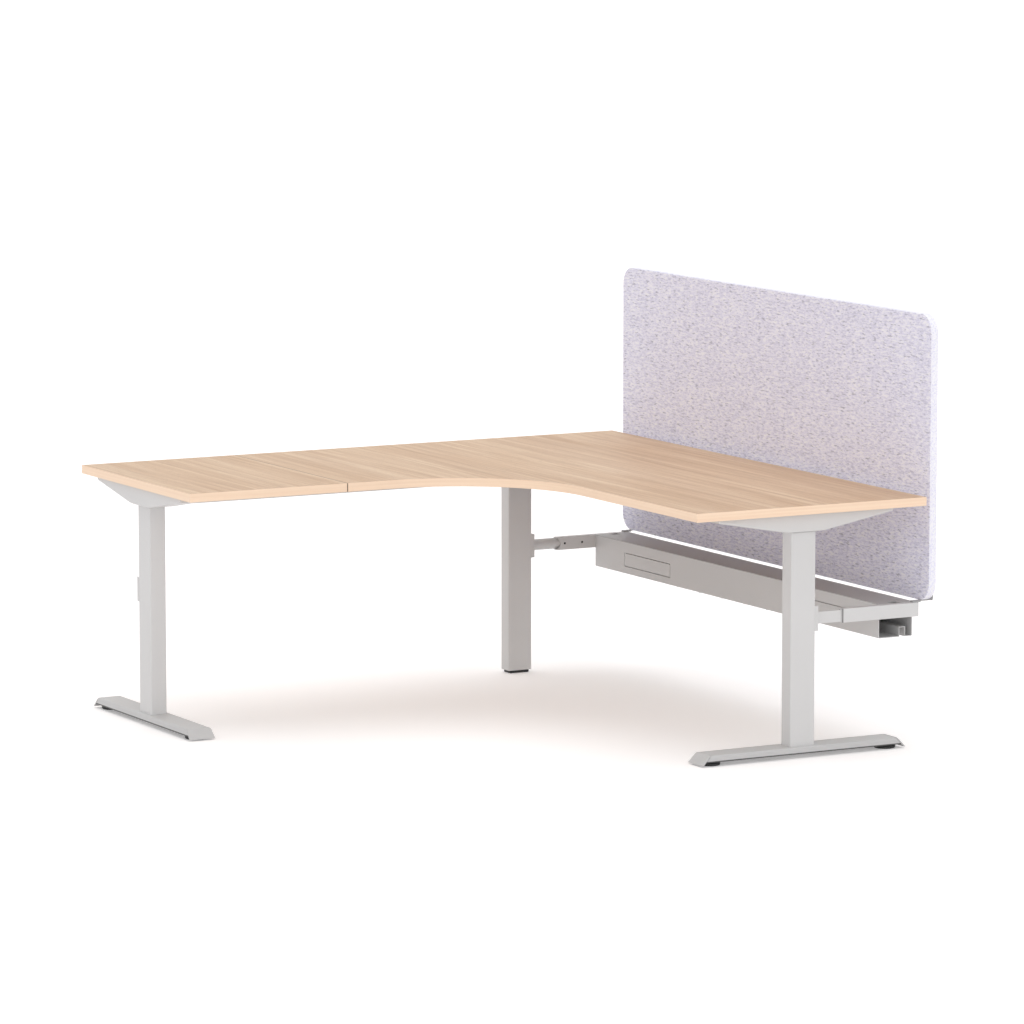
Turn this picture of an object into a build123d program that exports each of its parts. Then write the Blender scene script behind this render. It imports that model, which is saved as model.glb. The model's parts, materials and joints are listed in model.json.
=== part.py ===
from build123d import *
import os

# A radial corner workstation in millimetres, +Z up. The origin is on the floor at the centre of
# the bounding box. The main desk runs along X with a screen behind it, at +Y. The return runs
# from the main desk's left end towards -Y, and the user sits in the inner corner.

# Worktop
TOP_HEIGHT = 720.0  # floor to worktop, lowered
TOP_THICKNESS = 25.0
MAIN_LENGTH = 1800.0
MAIN_DEPTH = 750.0
RETURN_REACH = 1800.0  # rear edge of the main desk to the end of the return
RETURN_DEPTH = 750.0
INNER_CURVE = 400.0  # radius of the concave edge in front of the user
SEAM_FROM_REAR = 1300.0
SEAM_GAP = 1.5
BAND = 2.0  # edge band
BAND_ROUND = 0.8

# Columns
COLUMN_LONG = 80.0
COLUMN_SHORT = 50.0
COLUMN_ROUND = 3.5
COLUMN_WALL = 2.0
INNER_ROUND = 3.0  # corners of the upper tube
SLIDE_GAP = 2.0  # between the walls of the two tubes of a column
SLIDE_PLAY = 0.3  # running clearance of guides and sliders
STROKE = 480.0
INNER_OFF_FLOOR = 44.0
GUIDE_LENGTH = 40.0
GUIDE_LIP = 1.5
SLIDER_LENGTH = 30.0
COLUMN_UNDER_WING = 2.5
LEG_INSET = 71.0  # column axis from the ends of the main desk
LEGS_FORWARD = 2.5  # column axes ahead of the middle of the main desk
RETURN_LEG_INSET = 52.5

# Feet
FOOT_LENGTH = 670.0
FOOT_TOP_LENGTH = 618.0
FOOT_WIDTH = 80.0
FOOT_TOP_WIDTH = 75.0
FOOT_HEIGHT = 32.0
FOOT_WALL = 3.0
FOOT_ROUND = 5.5  # long upper edges
FOOT_INSIDE_ROUND = 0.5  # the least that these edges have inside
FOOT_SIDE_GAP = 12.0  # floor to the side walls
FOOT_CAP = 5.0  # end caps, measured along the foot
FOOT_CAP_GAP = 4.0  # floor to the end caps
FOOT_CAP_SEAM = 1.5
FOOT_PLUG_FIT = 0.2
FOOT_PLUG_GAP = 1.0
FOOT_PAD_LENGTH = 130.0  # thick part that takes the column bolts
FOOT_PAD_THICKNESS = 12.0
FOOT_BOLT_X = 13.0
FOOT_BOLT_Y = 27.0

# Levellers
GLIDE_RADIUS = 31.0
CORNER_GLIDE_LENGTH = 66.0
CORNER_GLIDE_WIDTH = 42.0
CORNER_GLIDE_ROUND = 3.0
GLIDE_HEIGHT = 7.0
GLIDE_EDGE = 1.5
GLIDE_FROM_TIP = 46.0
GLIDE_SEAT = 12.0  # floor to the boss of a foot
BOSS_LENGTH = 24.0
CORNER_SEAT = 9.0  # floor to the bottom of the corner column
COLLAR_RADIUS = 10.0
STUD_RADIUS = 5.0
STUD_TOP = 27.0
REST_GAP = 0.3

# Lifting gear
BASE_PLATE = 6.0
POST_RADIUS = 12.0
POST_BORE = 9.5
NUT_RADIUS = 15.0
NUT_LENGTH = 30.0
NUT_HEIGHT = 540.0
SPINDLE_RADIUS = 7.0
SPINDLE_BOTTOM = 50.0
SPINDLE_COLLAR = 11.0
SPINDLE_COLLAR_LENGTH = 8.0
JOURNAL_RADIUS = 5.0
JOURNAL_LENGTH = 15.0
JOURNAL_END_GAP = 1.0
THREAD_FIT = 0.1
SHAFT_FIT = 0.05
WELD_GAP = 0.1
GEARBOX_HEIGHT = 40.0
GEARBOX_LENGTH = 92.0
GEARBOX_WIDTH = 62.0
GEARBOX_ROUND = 5.0
HEAD_PLATE = 5.0
HEAD_PLATE_LENGTH = 150.0
HEAD_PLATE_WIDTH = 74.0
HEAD_SCREW_X = 28.0
HEAD_SCREW_Y = 64.0
MOTOR_RADIUS = 18.5
MOTOR_LENGTH = 150.0
MOTOR_CAP_RADIUS = 15.0
MOTOR_CAP_LENGTH = 12.0
MOTOR_HOLE_GAP = 0.5

# Wing brackets
WING_LENGTH = 571.0
WING_WIDTH = 84.0
WING_DROP = 53.5
WING_TIP = 12.5
WING_FLAT = 120.0
WING_BEND = 150.0
WING_EDGE = 7.0
WING_WALL = 3.0
LUG_LENGTH = 24.0
LUG_FROM_TIP = 34.0
LUG_SCREW_X = 22.0

# Rails and fixings under the top
RAIL_WIDTH = 25.0
RAIL_HEIGHT = 40.0
RAIL_WALL = 2.0
RAIL_ROUND = 3.0
RAIL_OFFSET = 110.0  # each side of a wing's centreline
RAIL_PLUG = 8.0
JOINING_WIDTH = 60.0
JOINING_LENGTH = 160.0
JOINING_THICKNESS = 3.0
JOINING_ROUND = 3.0
JOINING_INSET = 150.0
TEE_LENGTH = 90.0
TEE_WIDTH = 60.0
TEE_INSET = 8.0
BOX_LENGTH = 250.0
BOX_WIDTH = 96.0
BOX_HEIGHT = 38.0
BOX_ROUND = 6.0
BOX_EAR = 16.0
BOX_EAR_THICKNESS = 4.0
BOX_SOCKET_WIDTH = 14.0
BOX_SOCKET_HEIGHT = 10.0
BOX_SOCKET_DEPTH = 9.0
BOX_SOCKET_PITCH = 24.0
BOX_FROM_CORNER = 700.0
SCREW_RADIUS = 2.5
SCREW_HEAD = 5.5
SCREW_HEAD_HEIGHT = 3.0
SCREW_BITE = 16.0
SCREW_INSET = 14.0
BOLT_RADIUS = 3.9
BOLT_FIT = 0.1
BOLT_CLEARANCE = 0.5
BOLT_HEAD = 6.5
BOLT_HEAD_HEIGHT = 5.0
BOLT_SINK = 6.9  # radius of a countersunk head
BOLT_SOCKET = 2.9  # to the corners of its hexagon
BOLT_SOCKET_DEPTH = 2.4

# Accessory plates on the columns
PLATE_WIDTH = 44.0
PLATE_HEIGHT = 72.0
PLATE_THICKNESS = 7.0
PLATE_ROUND = 1.5
PLATE_CHAMFER = 0.7
PLATE_BOLT_X = 14.0
PLATE_BOLT_Z = 26.0
PLATE_CENTRE = 391.0
FLANGE = 5.0

# Arms
SLEEVE_WIDTH = 22.0
SLEEVE_HEIGHT = 40.0
SLEEVE_WALL = 3.0
SLEEVE_ROUND = 1.5
ARM_SHOWS = 85.0  # inner member left bare between flange and sleeve
ARM_HELD = 95.0  # inner member inside the sleeve
ARM_PLAY = 0.3
ARM_WALL = 2.5
ARM_ROUND = 18.0  # the rounded side of the inner member
NOTCH_RADIUS = 17.6
NOTCH_DEPTH = 12.0
SET_SCREW_RADIUS = 3.5
SET_SCREW_FIRST = 27.5
SET_SCREW_PITCH = 61.0
SET_SCREW_SUNK = 0.6
SET_SCREW_SOCKET = 2.3
SET_SCREW_SOCKET_DEPTH = 1.6
CAP_THICKNESS = 2.0
CAP_PLUG = 16.0

# Screen
SCREEN_GAP = 25.0  # behind the rear edge of the desk
SCREEN_THICKNESS = 24.0
SCREEN_LENGTH = 1755.0
SCREEN_HEIGHT = 817.0
SCREEN_BOTTOM = 415.0
SCREEN_CORNER = 52.0
SCREEN_EDGE = 2.5
SLEEVE_SHORT_OF_SCREEN = 10.0
HOOK_WIDTH = 14.0
HOOK_THICKNESS = 5.0  # sleeve to screen
HOOK_SOLE = 2.0  # under the screen
HOOK_FORWARD = 17.0
HOOK_SCREW_FROM_CAP = 3.5
HOOK_SCREW_BITE = 12.0
UPRIGHT_THICKNESS = 3.0
UPRIGHT_WIDTH = 60.0
UPRIGHT_HEIGHT = 160.0
UPRIGHT_ROUND = 8.0
UPRIGHT_SCREW_X = 20.0
UPRIGHT_SCREW_LOW = 45.0
UPRIGHT_SCREW_HIGH = 140.0
SMALL_SCREW_RADIUS = 2.4
SMALL_HEAD_RADIUS = 4.2
SMALL_HEAD_HEIGHT = 2.0
PANEL_BITE = 14.0

# Cable tray
TRAY_DEPTH = 112.5
TRAY_HEIGHT = 98.0
TRAY_WALL = 2.0
TRAY_BEND = 2.5
TRAY_FLANGE = 12.0
TRAY_SETBACK = 7.0  # rear wall from the rear end of the sleeves
LID_THICKNESS = 2.0
RIB_WIDTH = 21.5
RIB_HEIGHT = 28.5
RIB_FROM_REAR = 23.0
COVER_LENGTH = 276.0
COVER_HEIGHT = 38.5
COVER_GROOVE = 2.0
COVER_ROUND = 1.0
COVER_SKIN = 1.5
COVER_DEPTH = 8.0  # front of the tray to the rim of a cover
COVER_RIM = 2.0
COVER_RIM_MARGIN = 10.0
COVER_POST_RADIUS = 3.0
COVER_POST_OUT = 6.0  # beyond the ends of the cover
COVER_POST_IN = 6.0  # within its height
COVER_FROM_END = 320.0  # middle of a cover to the end of the tray
COVER_ABOVE_FLOOR = 43.0
OUTLET_LENGTH = 30.0
OUTLET_WIDTH = 30.0
OUTLET_FROM_REAR = 45.0
HANGER_THICKNESS = 2.5
HANGER_DROP = 36.0
HANGER_LEG = 60.0
HANGER_GAP = 0.3
HANGER_BOLT_Y = 32.0
HANGER_BOLT_DROP = 18.0
HANGER_BOLT_RADIUS = 2.9
HANGER_HEAD_RADIUS = 5.0
HANGER_HEAD_HEIGHT = 2.5
LID_SCREW_PITCH = 270.0
LID_SCREWS_PER_EDGE = 5
RIVET_RADIUS = 3.5
RIVET_HEIGHT = 2.5
RIVET_PITCH = 130.0
RIVETS = 6
RIVET_INSET = 8.0

CUT = 5.0  # overrun of every cutting solid

# Places worked out from the sizes above
Z_UNDER = TOP_HEIGHT - TOP_THICKNESS
OVERALL_DEPTH = RETURN_REACH + SCREEN_GAP + SCREEN_THICKNESS + UPRIGHT_THICKNESS
Y_REAR = OVERALL_DEPTH / 2 - SCREEN_GAP - SCREEN_THICKNESS - UPRIGHT_THICKNESS
Y_END = Y_REAR - RETURN_REACH
Y_SEAM = Y_REAR - SEAM_FROM_REAR
Y_MAIN = Y_REAR - MAIN_DEPTH / 2 - LEGS_FORWARD
X_LEFT = -MAIN_LENGTH / 2
X_RIGHT = MAIN_LENGTH / 2
X_RETURN = X_LEFT + RETURN_DEPTH / 2
X_ARM = X_RIGHT - LEG_INSET

WING_BOTTOM = Z_UNDER - WING_DROP
COLUMN_TOP = WING_BOTTOM - COLUMN_UNDER_WING - GUIDE_LIP
GEARBOX_TOP = Z_UNDER - HEAD_PLATE
GEARBOX_BOTTOM = GEARBOX_TOP - GEARBOX_HEIGHT
MOTOR_AXIS = (GEARBOX_TOP + GEARBOX_BOTTOM) / 2
INNER_LONG = COLUMN_LONG - 2 * COLUMN_WALL - 2 * SLIDE_GAP
INNER_SHORT = COLUMN_SHORT - 2 * COLUMN_WALL - 2 * SLIDE_GAP

PLATE_REAR = COLUMN_LONG / 2 + PLATE_THICKNESS
FLANGE_REAR = PLATE_REAR + FLANGE
SLEEVE_FRONT = Y_MAIN + FLANGE_REAR + ARM_SHOWS
SLEEVE_END = Y_REAR + SCREEN_GAP - SLEEVE_SHORT_OF_SCREEN
SLEEVE_TOP = SCREEN_BOTTOM - HOOK_THICKNESS
SLEEVE_CENTRE = SLEEVE_TOP - SLEEVE_HEIGHT / 2
TRAY_REAR = SLEEVE_END - TRAY_SETBACK
TRAY_FRONT = TRAY_REAR - TRAY_DEPTH
TRAY_BOTTOM = SLEEVE_TOP - TRAY_HEIGHT
LID_UNDER = SLEEVE_TOP - LID_THICKNESS
TRAY_END = X_ARM - SLEEVE_WIDTH / 2
OUTLET_REAR = SLEEVE_END - OUTLET_FROM_REAR
SCREEN_FRONT = Y_REAR + SCREEN_GAP
SCREEN_REAR = SCREEN_FRONT + SCREEN_THICKNESS

# Each leg's place, the side its motor lies on in the leg's own frame, and whether it has a foot.
# In that frame the long side of the column is along Y and the accessory plate is at +Y.
LEGS = {
    "right": (Pos(X_ARM, Y_MAIN, 0), -1, True),
    "corner": (Pos(-X_ARM, Y_MAIN, 0), 1, False),
    "left": (Pos(X_RETURN, Y_END + RETURN_LEG_INSET, 0) * Rot(0, 0, 90), 1, True),
}


# General shapes
def block(x, y, z):
    """A box between three pairs of low and high values."""
    pairs = (x, y, z)
    middle = [(low + high) / 2 for low, high in pairs]
    return Pos(*middle) * Box(*[high - low for low, high in pairs])


def pane(across, up):
    """A flat rectangle between two pairs of low and high values."""
    middle = [(low + high) / 2 for low, high in (across, up)]
    return Pos(*middle) * Rectangle(across[1] - across[0], up[1] - up[0])


def along_x(face, low, high):
    """A profile drawn in Y and Z, run along X."""
    return extrude(Plane.YZ.offset(low) * face, high - low)


def along_y(face, low, high):
    """A profile drawn in X and Z, run along Y."""
    return extrude(Plane.XZ.offset(-high) * face, high - low)


def along_z(face, low, high):
    """A profile drawn in X and Y, run along Z."""
    return extrude(Plane.XY.offset(low) * face, high - low)


def bar_x(radius, low, high, y, z):
    return Pos((low + high) / 2, y, z) * Rot(0, 90, 0) * Cylinder(radius, high - low)


def bar_y(radius, low, high, x, z):
    return Pos(x, (low + high) / 2, z) * Rot(90, 0, 0) * Cylinder(radius, high - low)


def bar_z(radius, low, high, x=0.0, y=0.0):
    return Pos(x, y, (low + high) / 2) * Cylinder(radius, high - low)


def group(shapes):
    """Separate solids kept together in one node."""
    return Compound([solid for shape in shapes for solid in shape.solids()])


def both_signs(value):
    return (-value, value)


# Worktop
def top_outline(inset):
    """The whole L-shaped outline with its concave inner curve, drawn in from the edge by inset."""
    left, right = X_LEFT + inset, X_RIGHT - inset
    inner_x = X_LEFT + RETURN_DEPTH - inset
    inner_y = Y_REAR - MAIN_DEPTH + inset
    wings = pane((left, right), (inner_y, Y_REAR - inset))
    wings += pane((left, inner_x), (Y_END + inset, Y_REAR - inset))
    corner = wings.vertices().sort_by_distance((inner_x, inner_y, 0))[0]
    return fillet(corner, INNER_CURVE + inset)


def board_outline(low, high, inset):
    """The part of the outline between two cuts across the return."""
    return top_outline(inset) & pane((X_LEFT, X_RIGHT), (low + inset, high - inset))


def board(low, high):
    """One board's core and the band round it."""
    core = along_z(board_outline(low, high, BAND), Z_UNDER, TOP_HEIGHT) - pilot_holes()
    slab = along_z(board_outline(low, high, 0), Z_UNDER, TOP_HEIGHT)
    levels = slab.edges().group_by(Axis.Z)
    slab = fillet(levels[0] + levels[-1], BAND_ROUND)
    return core, slab - along_z(board_outline(low, high, BAND), Z_UNDER, TOP_HEIGHT)


# Columns and feet
def column_face(gap):
    """The outside of the lower tube, drawn in by gap on every side."""
    return RectangleRounded(COLUMN_SHORT - 2 * gap, COLUMN_LONG - 2 * gap, COLUMN_ROUND - gap)


def inner_face(gap):
    """The outside of the upper tube, grown by gap on every side."""
    return RectangleRounded(INNER_SHORT + 2 * gap, INNER_LONG + 2 * gap, INNER_ROUND + gap)


def outer_column(bottom):
    return along_z(column_face(0) - column_face(COLUMN_WALL), bottom, COLUMN_TOP)


def guide_bush():
    """Sits in the mouth of the lower tube, with a rim on top of its wall."""
    bore = inner_face(SLIDE_PLAY)
    sleeve = along_z(column_face(COLUMN_WALL) - bore, COLUMN_TOP - GUIDE_LENGTH, COLUMN_TOP)
    return sleeve + along_z(column_face(0) - bore, COLUMN_TOP, COLUMN_TOP + GUIDE_LIP)


def inner_column():
    return along_z(inner_face(0) - inner_face(-COLUMN_WALL), INNER_OFF_FLOOR, GEARBOX_BOTTOM)


def column_slider():
    """Rides on the foot of the upper tube."""
    ring = inner_face(SLIDE_GAP - SLIDE_PLAY) - inner_face(0)
    return along_z(ring, INNER_OFF_FLOOR, INNER_OFF_FLOOR + SLIDER_LENGTH)


def bolt_places(x, y):
    return [(i, j) for i in both_signs(x) for j in both_signs(y)]


def foot_section(gap, low):
    """The outline across a foot, with bevelled sides, drawn in by gap and cut off at low."""
    wide, narrow = FOOT_WIDTH / 2 - gap, FOOT_TOP_WIDTH / 2 - gap
    roof = FOOT_HEIGHT - gap
    points = [(-wide, FOOT_CAP_GAP), (wide, FOOT_CAP_GAP), (narrow, roof), (-narrow, roof)]
    outline = make_face(Polyline(*points, close=True))
    upper = outline.vertices().group_by(Axis.Y)[-1]
    outline = fillet(upper, max(FOOT_ROUND - gap, FOOT_INSIDE_ROUND))
    return outline & pane(both_signs(wide), (low, roof))


def between_slopes(inset):
    """The room between the sloped ends of a foot, less inset at each end."""
    low, high = FOOT_LENGTH / 2 - inset, FOOT_TOP_LENGTH / 2 - inset
    points = [(-low, FOOT_CAP_GAP), (low, FOOT_CAP_GAP), (high, FOOT_HEIGHT), (-high, FOOT_HEIGHT)]
    return along_x(make_face(Polyline(*points, close=True)), *both_signs(FOOT_WIDTH / 2 + CUT))


def foot():
    """A steel channel, open below, with a thick part under the column and a boss at each end."""
    ceiling = FOOT_HEIGHT - FOOT_WALL
    channel = foot_section(0, FOOT_SIDE_GAP) - foot_section(FOOT_WALL, FOOT_CAP_GAP)
    shell = along_y(channel, *both_signs(FOOT_LENGTH / 2))
    pad = foot_section(FOOT_WALL / 2, ceiling - FOOT_PAD_THICKNESS)
    shell += along_y(pad, *both_signs(FOOT_PAD_LENGTH / 2))
    boss = foot_section(FOOT_WALL / 2, GLIDE_SEAT)
    for y in both_signs(FOOT_LENGTH / 2 - GLIDE_FROM_TIP):
        shell += along_y(boss, y - BOSS_LENGTH / 2, y + BOSS_LENGTH / 2)
        shell -= bar_z(STUD_RADIUS + THREAD_FIT, GLIDE_SEAT - CUT, ceiling, 0, y)
    for x, y in bolt_places(FOOT_BOLT_X, FOOT_BOLT_Y):
        hole = BOLT_RADIUS + BOLT_CLEARANCE
        shell -= bar_z(hole, ceiling - FOOT_PAD_THICKNESS - CUT, FOOT_HEIGHT + CUT, x, y)
    return shell & between_slopes(FOOT_CAP + FOOT_CAP_SEAM)


def foot_end_cap():
    """Closes a foot at +Y. Its wedge-shaped plug fits between the side walls, clear of the boss."""
    start = FOOT_LENGTH / 2 - GLIDE_FROM_TIP + BOSS_LENGTH / 2 + FOOT_PLUG_GAP
    tip = FOOT_LENGTH / 2
    cap = along_y(foot_section(0, FOOT_CAP_GAP), start, tip)
    cap = (cap & between_slopes(0)) - between_slopes(FOOT_CAP)
    plug = along_y(foot_section(FOOT_WALL + FOOT_PLUG_FIT, FOOT_SIDE_GAP), start, tip)
    return cap + (plug & between_slopes(FOOT_CAP / 2))


def foot_bolt(x, y):
    head = FOOT_HEIGHT - FOOT_WALL - FOOT_PAD_THICKNESS
    bolt = bar_z(BOLT_HEAD, head - BOLT_HEAD_HEIGHT, head, x, y)
    return bolt + bar_z(BOLT_RADIUS, head, FOOT_HEIGHT + BASE_PLATE, x, y)


def spindle_post(bottom, has_foot):
    """The plate welded into the foot of the lower tube, and the post that holds the nut."""
    top = bottom + BASE_PLATE
    plate = along_z(column_face(COLUMN_WALL + WELD_GAP), bottom, top)
    post = bar_z(POST_RADIUS, top, NUT_HEIGHT) - bar_z(POST_BORE, top, NUT_HEIGHT)
    plate += post
    if has_foot:
        for x, y in bolt_places(FOOT_BOLT_X, FOOT_BOLT_Y):
            plate -= bar_z(BOLT_RADIUS + BOLT_FIT, bottom - CUT, top + CUT, x, y)
        return plate
    return plate - bar_z(STUD_RADIUS + THREAD_FIT, bottom - CUT, top + CUT)


def lift_nut():
    nut = bar_z(NUT_RADIUS, NUT_HEIGHT, NUT_HEIGHT + NUT_LENGTH)
    return nut - bar_z(SPINDLE_RADIUS + THREAD_FIT, NUT_HEIGHT - CUT, NUT_HEIGHT + NUT_LENGTH + CUT)


def spindle():
    """The lifting screw with its thrust collar and the journal that the gearbox drives."""
    collar_top = GEARBOX_BOTTOM - REST_GAP
    collar_bottom = collar_top - SPINDLE_COLLAR_LENGTH
    screw = bar_z(SPINDLE_RADIUS, SPINDLE_BOTTOM, collar_bottom)
    screw += bar_z(SPINDLE_COLLAR, collar_bottom, collar_top)
    return screw + bar_z(JOURNAL_RADIUS, collar_top, GEARBOX_BOTTOM + JOURNAL_LENGTH)


def leveller(plan, seat):
    """A moulded glide on a threaded stud, screwed right in against its seat."""
    glide = along_z(plan, 0, GLIDE_HEIGHT)
    glide = chamfer(glide.edges().group_by(Axis.Z)[0], GLIDE_EDGE)
    glide += bar_z(COLLAR_RADIUS, GLIDE_HEIGHT, seat - REST_GAP)
    return glide + bar_z(STUD_RADIUS, seat - REST_GAP, STUD_TOP)


# Heads of the columns
def wing_profile(inset):
    """The boat-shaped side view of a wing bracket, drawn in by inset."""
    half, flat = WING_LENGTH / 2 - inset, WING_FLAT / 2
    bottom, tip = WING_BOTTOM + inset, Z_UNDER - WING_TIP + inset
    points = [(-half, Z_UNDER), (half, Z_UNDER), (half, tip), (flat, bottom), (-flat, bottom)]
    outline = make_face(Polyline(*points, (-half, tip), close=True))
    knees = [outline.vertices().sort_by_distance((x, bottom, 0))[0] for x in both_signs(flat)]
    return fillet(knees, WING_BEND)


def wing_bracket(motor_side):
    """A pressed steel wing, open towards the board, that the column's head sits in."""
    half = WING_WIDTH / 2
    wing = along_x(wing_profile(0), -half, half)
    lower = [edge for edge in wing.edges() if edge.center().Z < Z_UNDER - WING_EDGE]
    sides = [edge for edge in lower if abs(abs(edge.center().X) - half) < BAND]
    wing = fillet(sides, WING_EDGE)
    wing -= along_x(wing_profile(WING_WALL), WING_WALL - half, half - WING_WALL)
    wing -= along_z(inner_face(WELD_GAP), WING_BOTTOM - CUT, WING_BOTTOM + 2 * CUT)
    reach = sorted((0, motor_side * (half + CUT)))
    wing -= bar_x(MOTOR_RADIUS + MOTOR_HOLE_GAP, *reach, 0, MOTOR_AXIS)
    for y in both_signs(WING_LENGTH / 2 - LUG_FROM_TIP):
        lug = (y - LUG_LENGTH / 2, y + LUG_LENGTH / 2)
        wing += block(both_signs(half - WING_WALL), lug, (Z_UNDER - WING_WALL, Z_UNDER))
        for x in both_signs(LUG_SCREW_X):
            hole = SCREW_RADIUS + BOLT_CLEARANCE
            wing -= bar_z(hole, Z_UNDER - WING_WALL - CUT, Z_UNDER + CUT, x, y)
    for y in both_signs(RAIL_OFFSET):
        hole = BOLT_RADIUS + BOLT_CLEARANCE
        wing -= bar_x(hole, *reach, y, Z_UNDER - RAIL_HEIGHT / 2)
    return wing


def drive_unit(motor_side):
    """Gearbox, head plate and motor, moulded and bolted as one unit."""
    plan = RectangleRounded(GEARBOX_WIDTH, GEARBOX_LENGTH, GEARBOX_ROUND)
    unit = along_z(plan, GEARBOX_BOTTOM, GEARBOX_TOP)
    plate = RectangleRounded(HEAD_PLATE_WIDTH, HEAD_PLATE_LENGTH, GEARBOX_ROUND)
    unit += along_z(plate, GEARBOX_TOP, Z_UNDER)
    motor_end = GEARBOX_WIDTH / 2 + MOTOR_LENGTH
    unit += bar_x(MOTOR_RADIUS, *sorted((0, motor_side * motor_end)), 0, MOTOR_AXIS)
    cap = sorted((motor_side * motor_end, motor_side * (motor_end + MOTOR_CAP_LENGTH)))
    unit += bar_x(MOTOR_CAP_RADIUS, *cap, 0, MOTOR_AXIS)
    bearing_top = GEARBOX_BOTTOM + JOURNAL_LENGTH + JOURNAL_END_GAP
    unit -= bar_z(JOURNAL_RADIUS + SHAFT_FIT, GEARBOX_BOTTOM - CUT, bearing_top)
    for x, y in bolt_places(HEAD_SCREW_X, HEAD_SCREW_Y):
        unit -= bar_z(SCREW_RADIUS + BOLT_CLEARANCE, GEARBOX_TOP - CUT, Z_UNDER + CUT, x, y)
    return unit


def worktop_screw_places():
    """Where each screw goes up into the boards, with the height of its seat."""
    heads = [(Pos(x, y, 0), GEARBOX_TOP) for x, y in bolt_places(HEAD_SCREW_X, HEAD_SCREW_Y)]
    lugs = bolt_places(LUG_SCREW_X, WING_LENGTH / 2 - LUG_FROM_TIP)
    heads += [(Pos(x, y, 0), Z_UNDER - WING_WALL) for x, y in lugs]
    places = [(leg[0] * place, seat) for leg in LEGS.values() for place, seat in heads]
    corners = bolt_places(JOINING_WIDTH / 2 - SCREW_INSET, JOINING_LENGTH / 2 - SCREW_INSET)
    seat = Z_UNDER - JOINING_THICKNESS
    places += [(Pos(x + i, Y_SEAM + j, 0), seat) for x in seam_plate_places() for i, j in corners]
    ears = [box_centre() + end for end in both_signs(BOX_LENGTH / 2 + BOX_EAR)]
    return places + [(Pos(x, Y_MAIN, 0), Z_UNDER - BOX_EAR_THICKNESS) for x in ears]


def worktop_screws():
    screws = []
    for place, seat in worktop_screw_places():
        screw = bar_z(SCREW_HEAD, seat - SCREW_HEAD_HEIGHT, seat)
        screws.append(place * (screw + bar_z(SCREW_RADIUS, seat, Z_UNDER + SCREW_BITE)))
    return screws


def pilot_holes():
    """The screws' holes in the boards."""
    hole = bar_z(SCREW_RADIUS + THREAD_FIT, Z_UNDER - CUT, Z_UNDER + SCREW_BITE)
    return [place * hole for place, seat in worktop_screw_places()]


# Rails and plates under the top
def rail_face(gap):
    width, height = RAIL_WIDTH - 2 * gap, RAIL_HEIGHT - 2 * gap
    return Pos(0, Z_UNDER - RAIL_HEIGHT / 2) * RectangleRounded(width, height, RAIL_ROUND - gap)


def rail(length):
    """A rectangular tube along Y from zero, with a tapped plug at each end."""
    tube = along_y(rail_face(0) - rail_face(RAIL_WALL), 0, length)
    for low in (0, length - RAIL_PLUG):
        tube += along_y(rail_face(RAIL_WALL), low, low + RAIL_PLUG)
        hole = BOLT_RADIUS + BOLT_FIT
        tube -= bar_y(hole, low - CUT, low + RAIL_PLUG + CUT, 0, Z_UNDER - RAIL_HEIGHT / 2)
    return tube


def main_rails():
    """From the corner wing to the right wing."""
    start = -X_ARM + WING_WIDTH / 2
    tube = Rot(0, 0, -90) * rail(2 * (X_ARM - WING_WIDTH / 2))
    return [Pos(start, Y_MAIN + y, 0) * tube - tee_pilots() for y in both_signs(RAIL_OFFSET)]


def return_rails():
    """From the left wing to the front main rail."""
    start = Y_END + RETURN_LEG_INSET + WING_WIDTH / 2
    end = Y_MAIN - RAIL_OFFSET - RAIL_WIDTH / 2
    tube = rail(end - start)
    return [Pos(X_RETURN + x, start, 0) * tube - tee_pilots() for x in both_signs(RAIL_OFFSET)]


def frame_bolt(motor_side, y):
    """From inside a wing through its wall into a rail's plug."""
    wall = WING_WIDTH / 2
    seat = motor_side * (wall - WING_WALL)
    height = Z_UNDER - RAIL_HEIGHT / 2
    head = sorted((seat - motor_side * BOLT_HEAD_HEIGHT, seat))
    shank = sorted((seat, motor_side * (wall + RAIL_PLUG)))
    return bar_x(BOLT_HEAD, *head, y, height) + bar_x(BOLT_RADIUS, *shank, y, height)


def flat_plate(size, top, holes):
    """A joining plate with its screw holes, centred on the axis."""
    low = top - JOINING_THICKNESS
    plate = along_z(RectangleRounded(*size, JOINING_ROUND), low, top)
    for x, y in holes:
        plate -= bar_z(SCREW_RADIUS + BOLT_CLEARANCE, low - CUT, top + CUT, x, y)
    return plate


def seam_plate_places():
    return (X_LEFT + JOINING_INSET, X_LEFT + RETURN_DEPTH - JOINING_INSET)


def seam_plates():
    """Flat plates across the seam, each with a screw hole near every corner."""
    corners = bolt_places(JOINING_WIDTH / 2 - SCREW_INSET, JOINING_LENGTH / 2 - SCREW_INSET)
    size = (JOINING_WIDTH, JOINING_LENGTH)
    return [Pos(x, Y_SEAM, 0) * flat_plate(size, Z_UNDER, corners) for x in seam_plate_places()]


def tee_places():
    """The joints of the return rails with the front main rail."""
    return [Pos(X_RETURN + x, Y_MAIN - RAIL_OFFSET, 0) for x in both_signs(RAIL_OFFSET)]


def tee_screw_places():
    """Two screws in the main rail and two in the return rail, round the place of a joint."""
    across = [(x, 0) for x in both_signs(TEE_WIDTH / 2 - TEE_INSET)]
    return across + [(0, -RAIL_WIDTH), (0, TEE_INSET - TEE_LENGTH + RAIL_WIDTH / 2)]


def tee_plates():
    """Hold the return rails to the main rail from below."""
    middle = Pos(0, (RAIL_WIDTH - TEE_LENGTH) / 2, 0)
    holes = [(x, y - middle.position.Y) for x, y in tee_screw_places()]
    plate = middle * flat_plate((TEE_WIDTH, TEE_LENGTH), Z_UNDER - RAIL_HEIGHT, holes)
    return [place * plate for place in tee_places()]


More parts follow.
